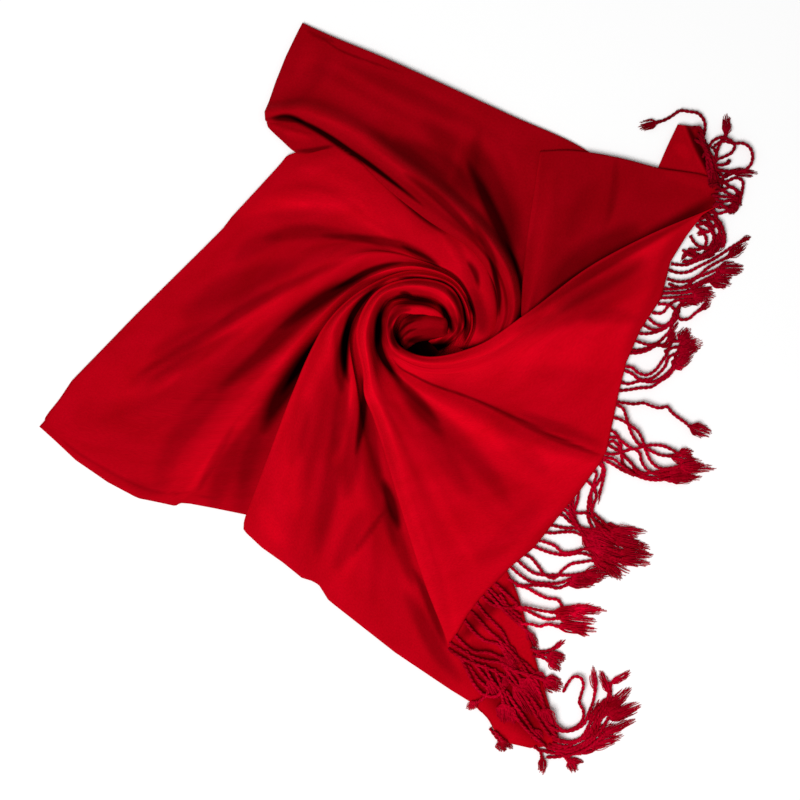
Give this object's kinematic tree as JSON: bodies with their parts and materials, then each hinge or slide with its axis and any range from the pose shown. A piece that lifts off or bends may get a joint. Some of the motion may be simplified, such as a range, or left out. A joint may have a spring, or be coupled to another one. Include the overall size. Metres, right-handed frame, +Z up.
{
  "type": "stole",
  "caption": "Red satin-faced stole laid flat and twisted in the middle into a rosette, its folds running out to a selvedge and a knotted fringe.",
  "frame": {"origin": "middle of the outline, on the surface the stole lies on", "axes": "+X to the right and +Y to the top as the laid stole is seen from above, +Z up"},
  "size_m": [0.718, 0.75, 0.033],
  "materials": {
    "cloth": "satin-faced twill with a soft sheen",
    "fringe": "twisted yarn, matt with frayed ends"
  },
  "bodies": {
    "root": {"hidden_layers": "cloth", "back_stretch": "cloth", "back_lip": "cloth", "left_stretch": "cloth", "lower_stretch": "cloth", "front_stretch": "cloth", "upper_right_stretch": "cloth", "turned_corner": "cloth", "rosette_core": "cloth", "fringe_single_top": "fringe", "fringe_upper_spray": "fringe", "fringe_upper_hem": "fringe", "fringe_middle_hem": "fringe", "fringe_middle_tassel": "fringe", "fringe_single_middle": "fringe", "fringe_crossing": "fringe", "fringe_hanging": "fringe", "fringe_lower_pair": "fringe", "fringe_lower_tassel": "fringe", "fringe_sweep": "fringe", "fringe_bottom_tassel": "fringe", "fringe_on_lower_stretch": "fringe"}
  },
  "joints": []
}
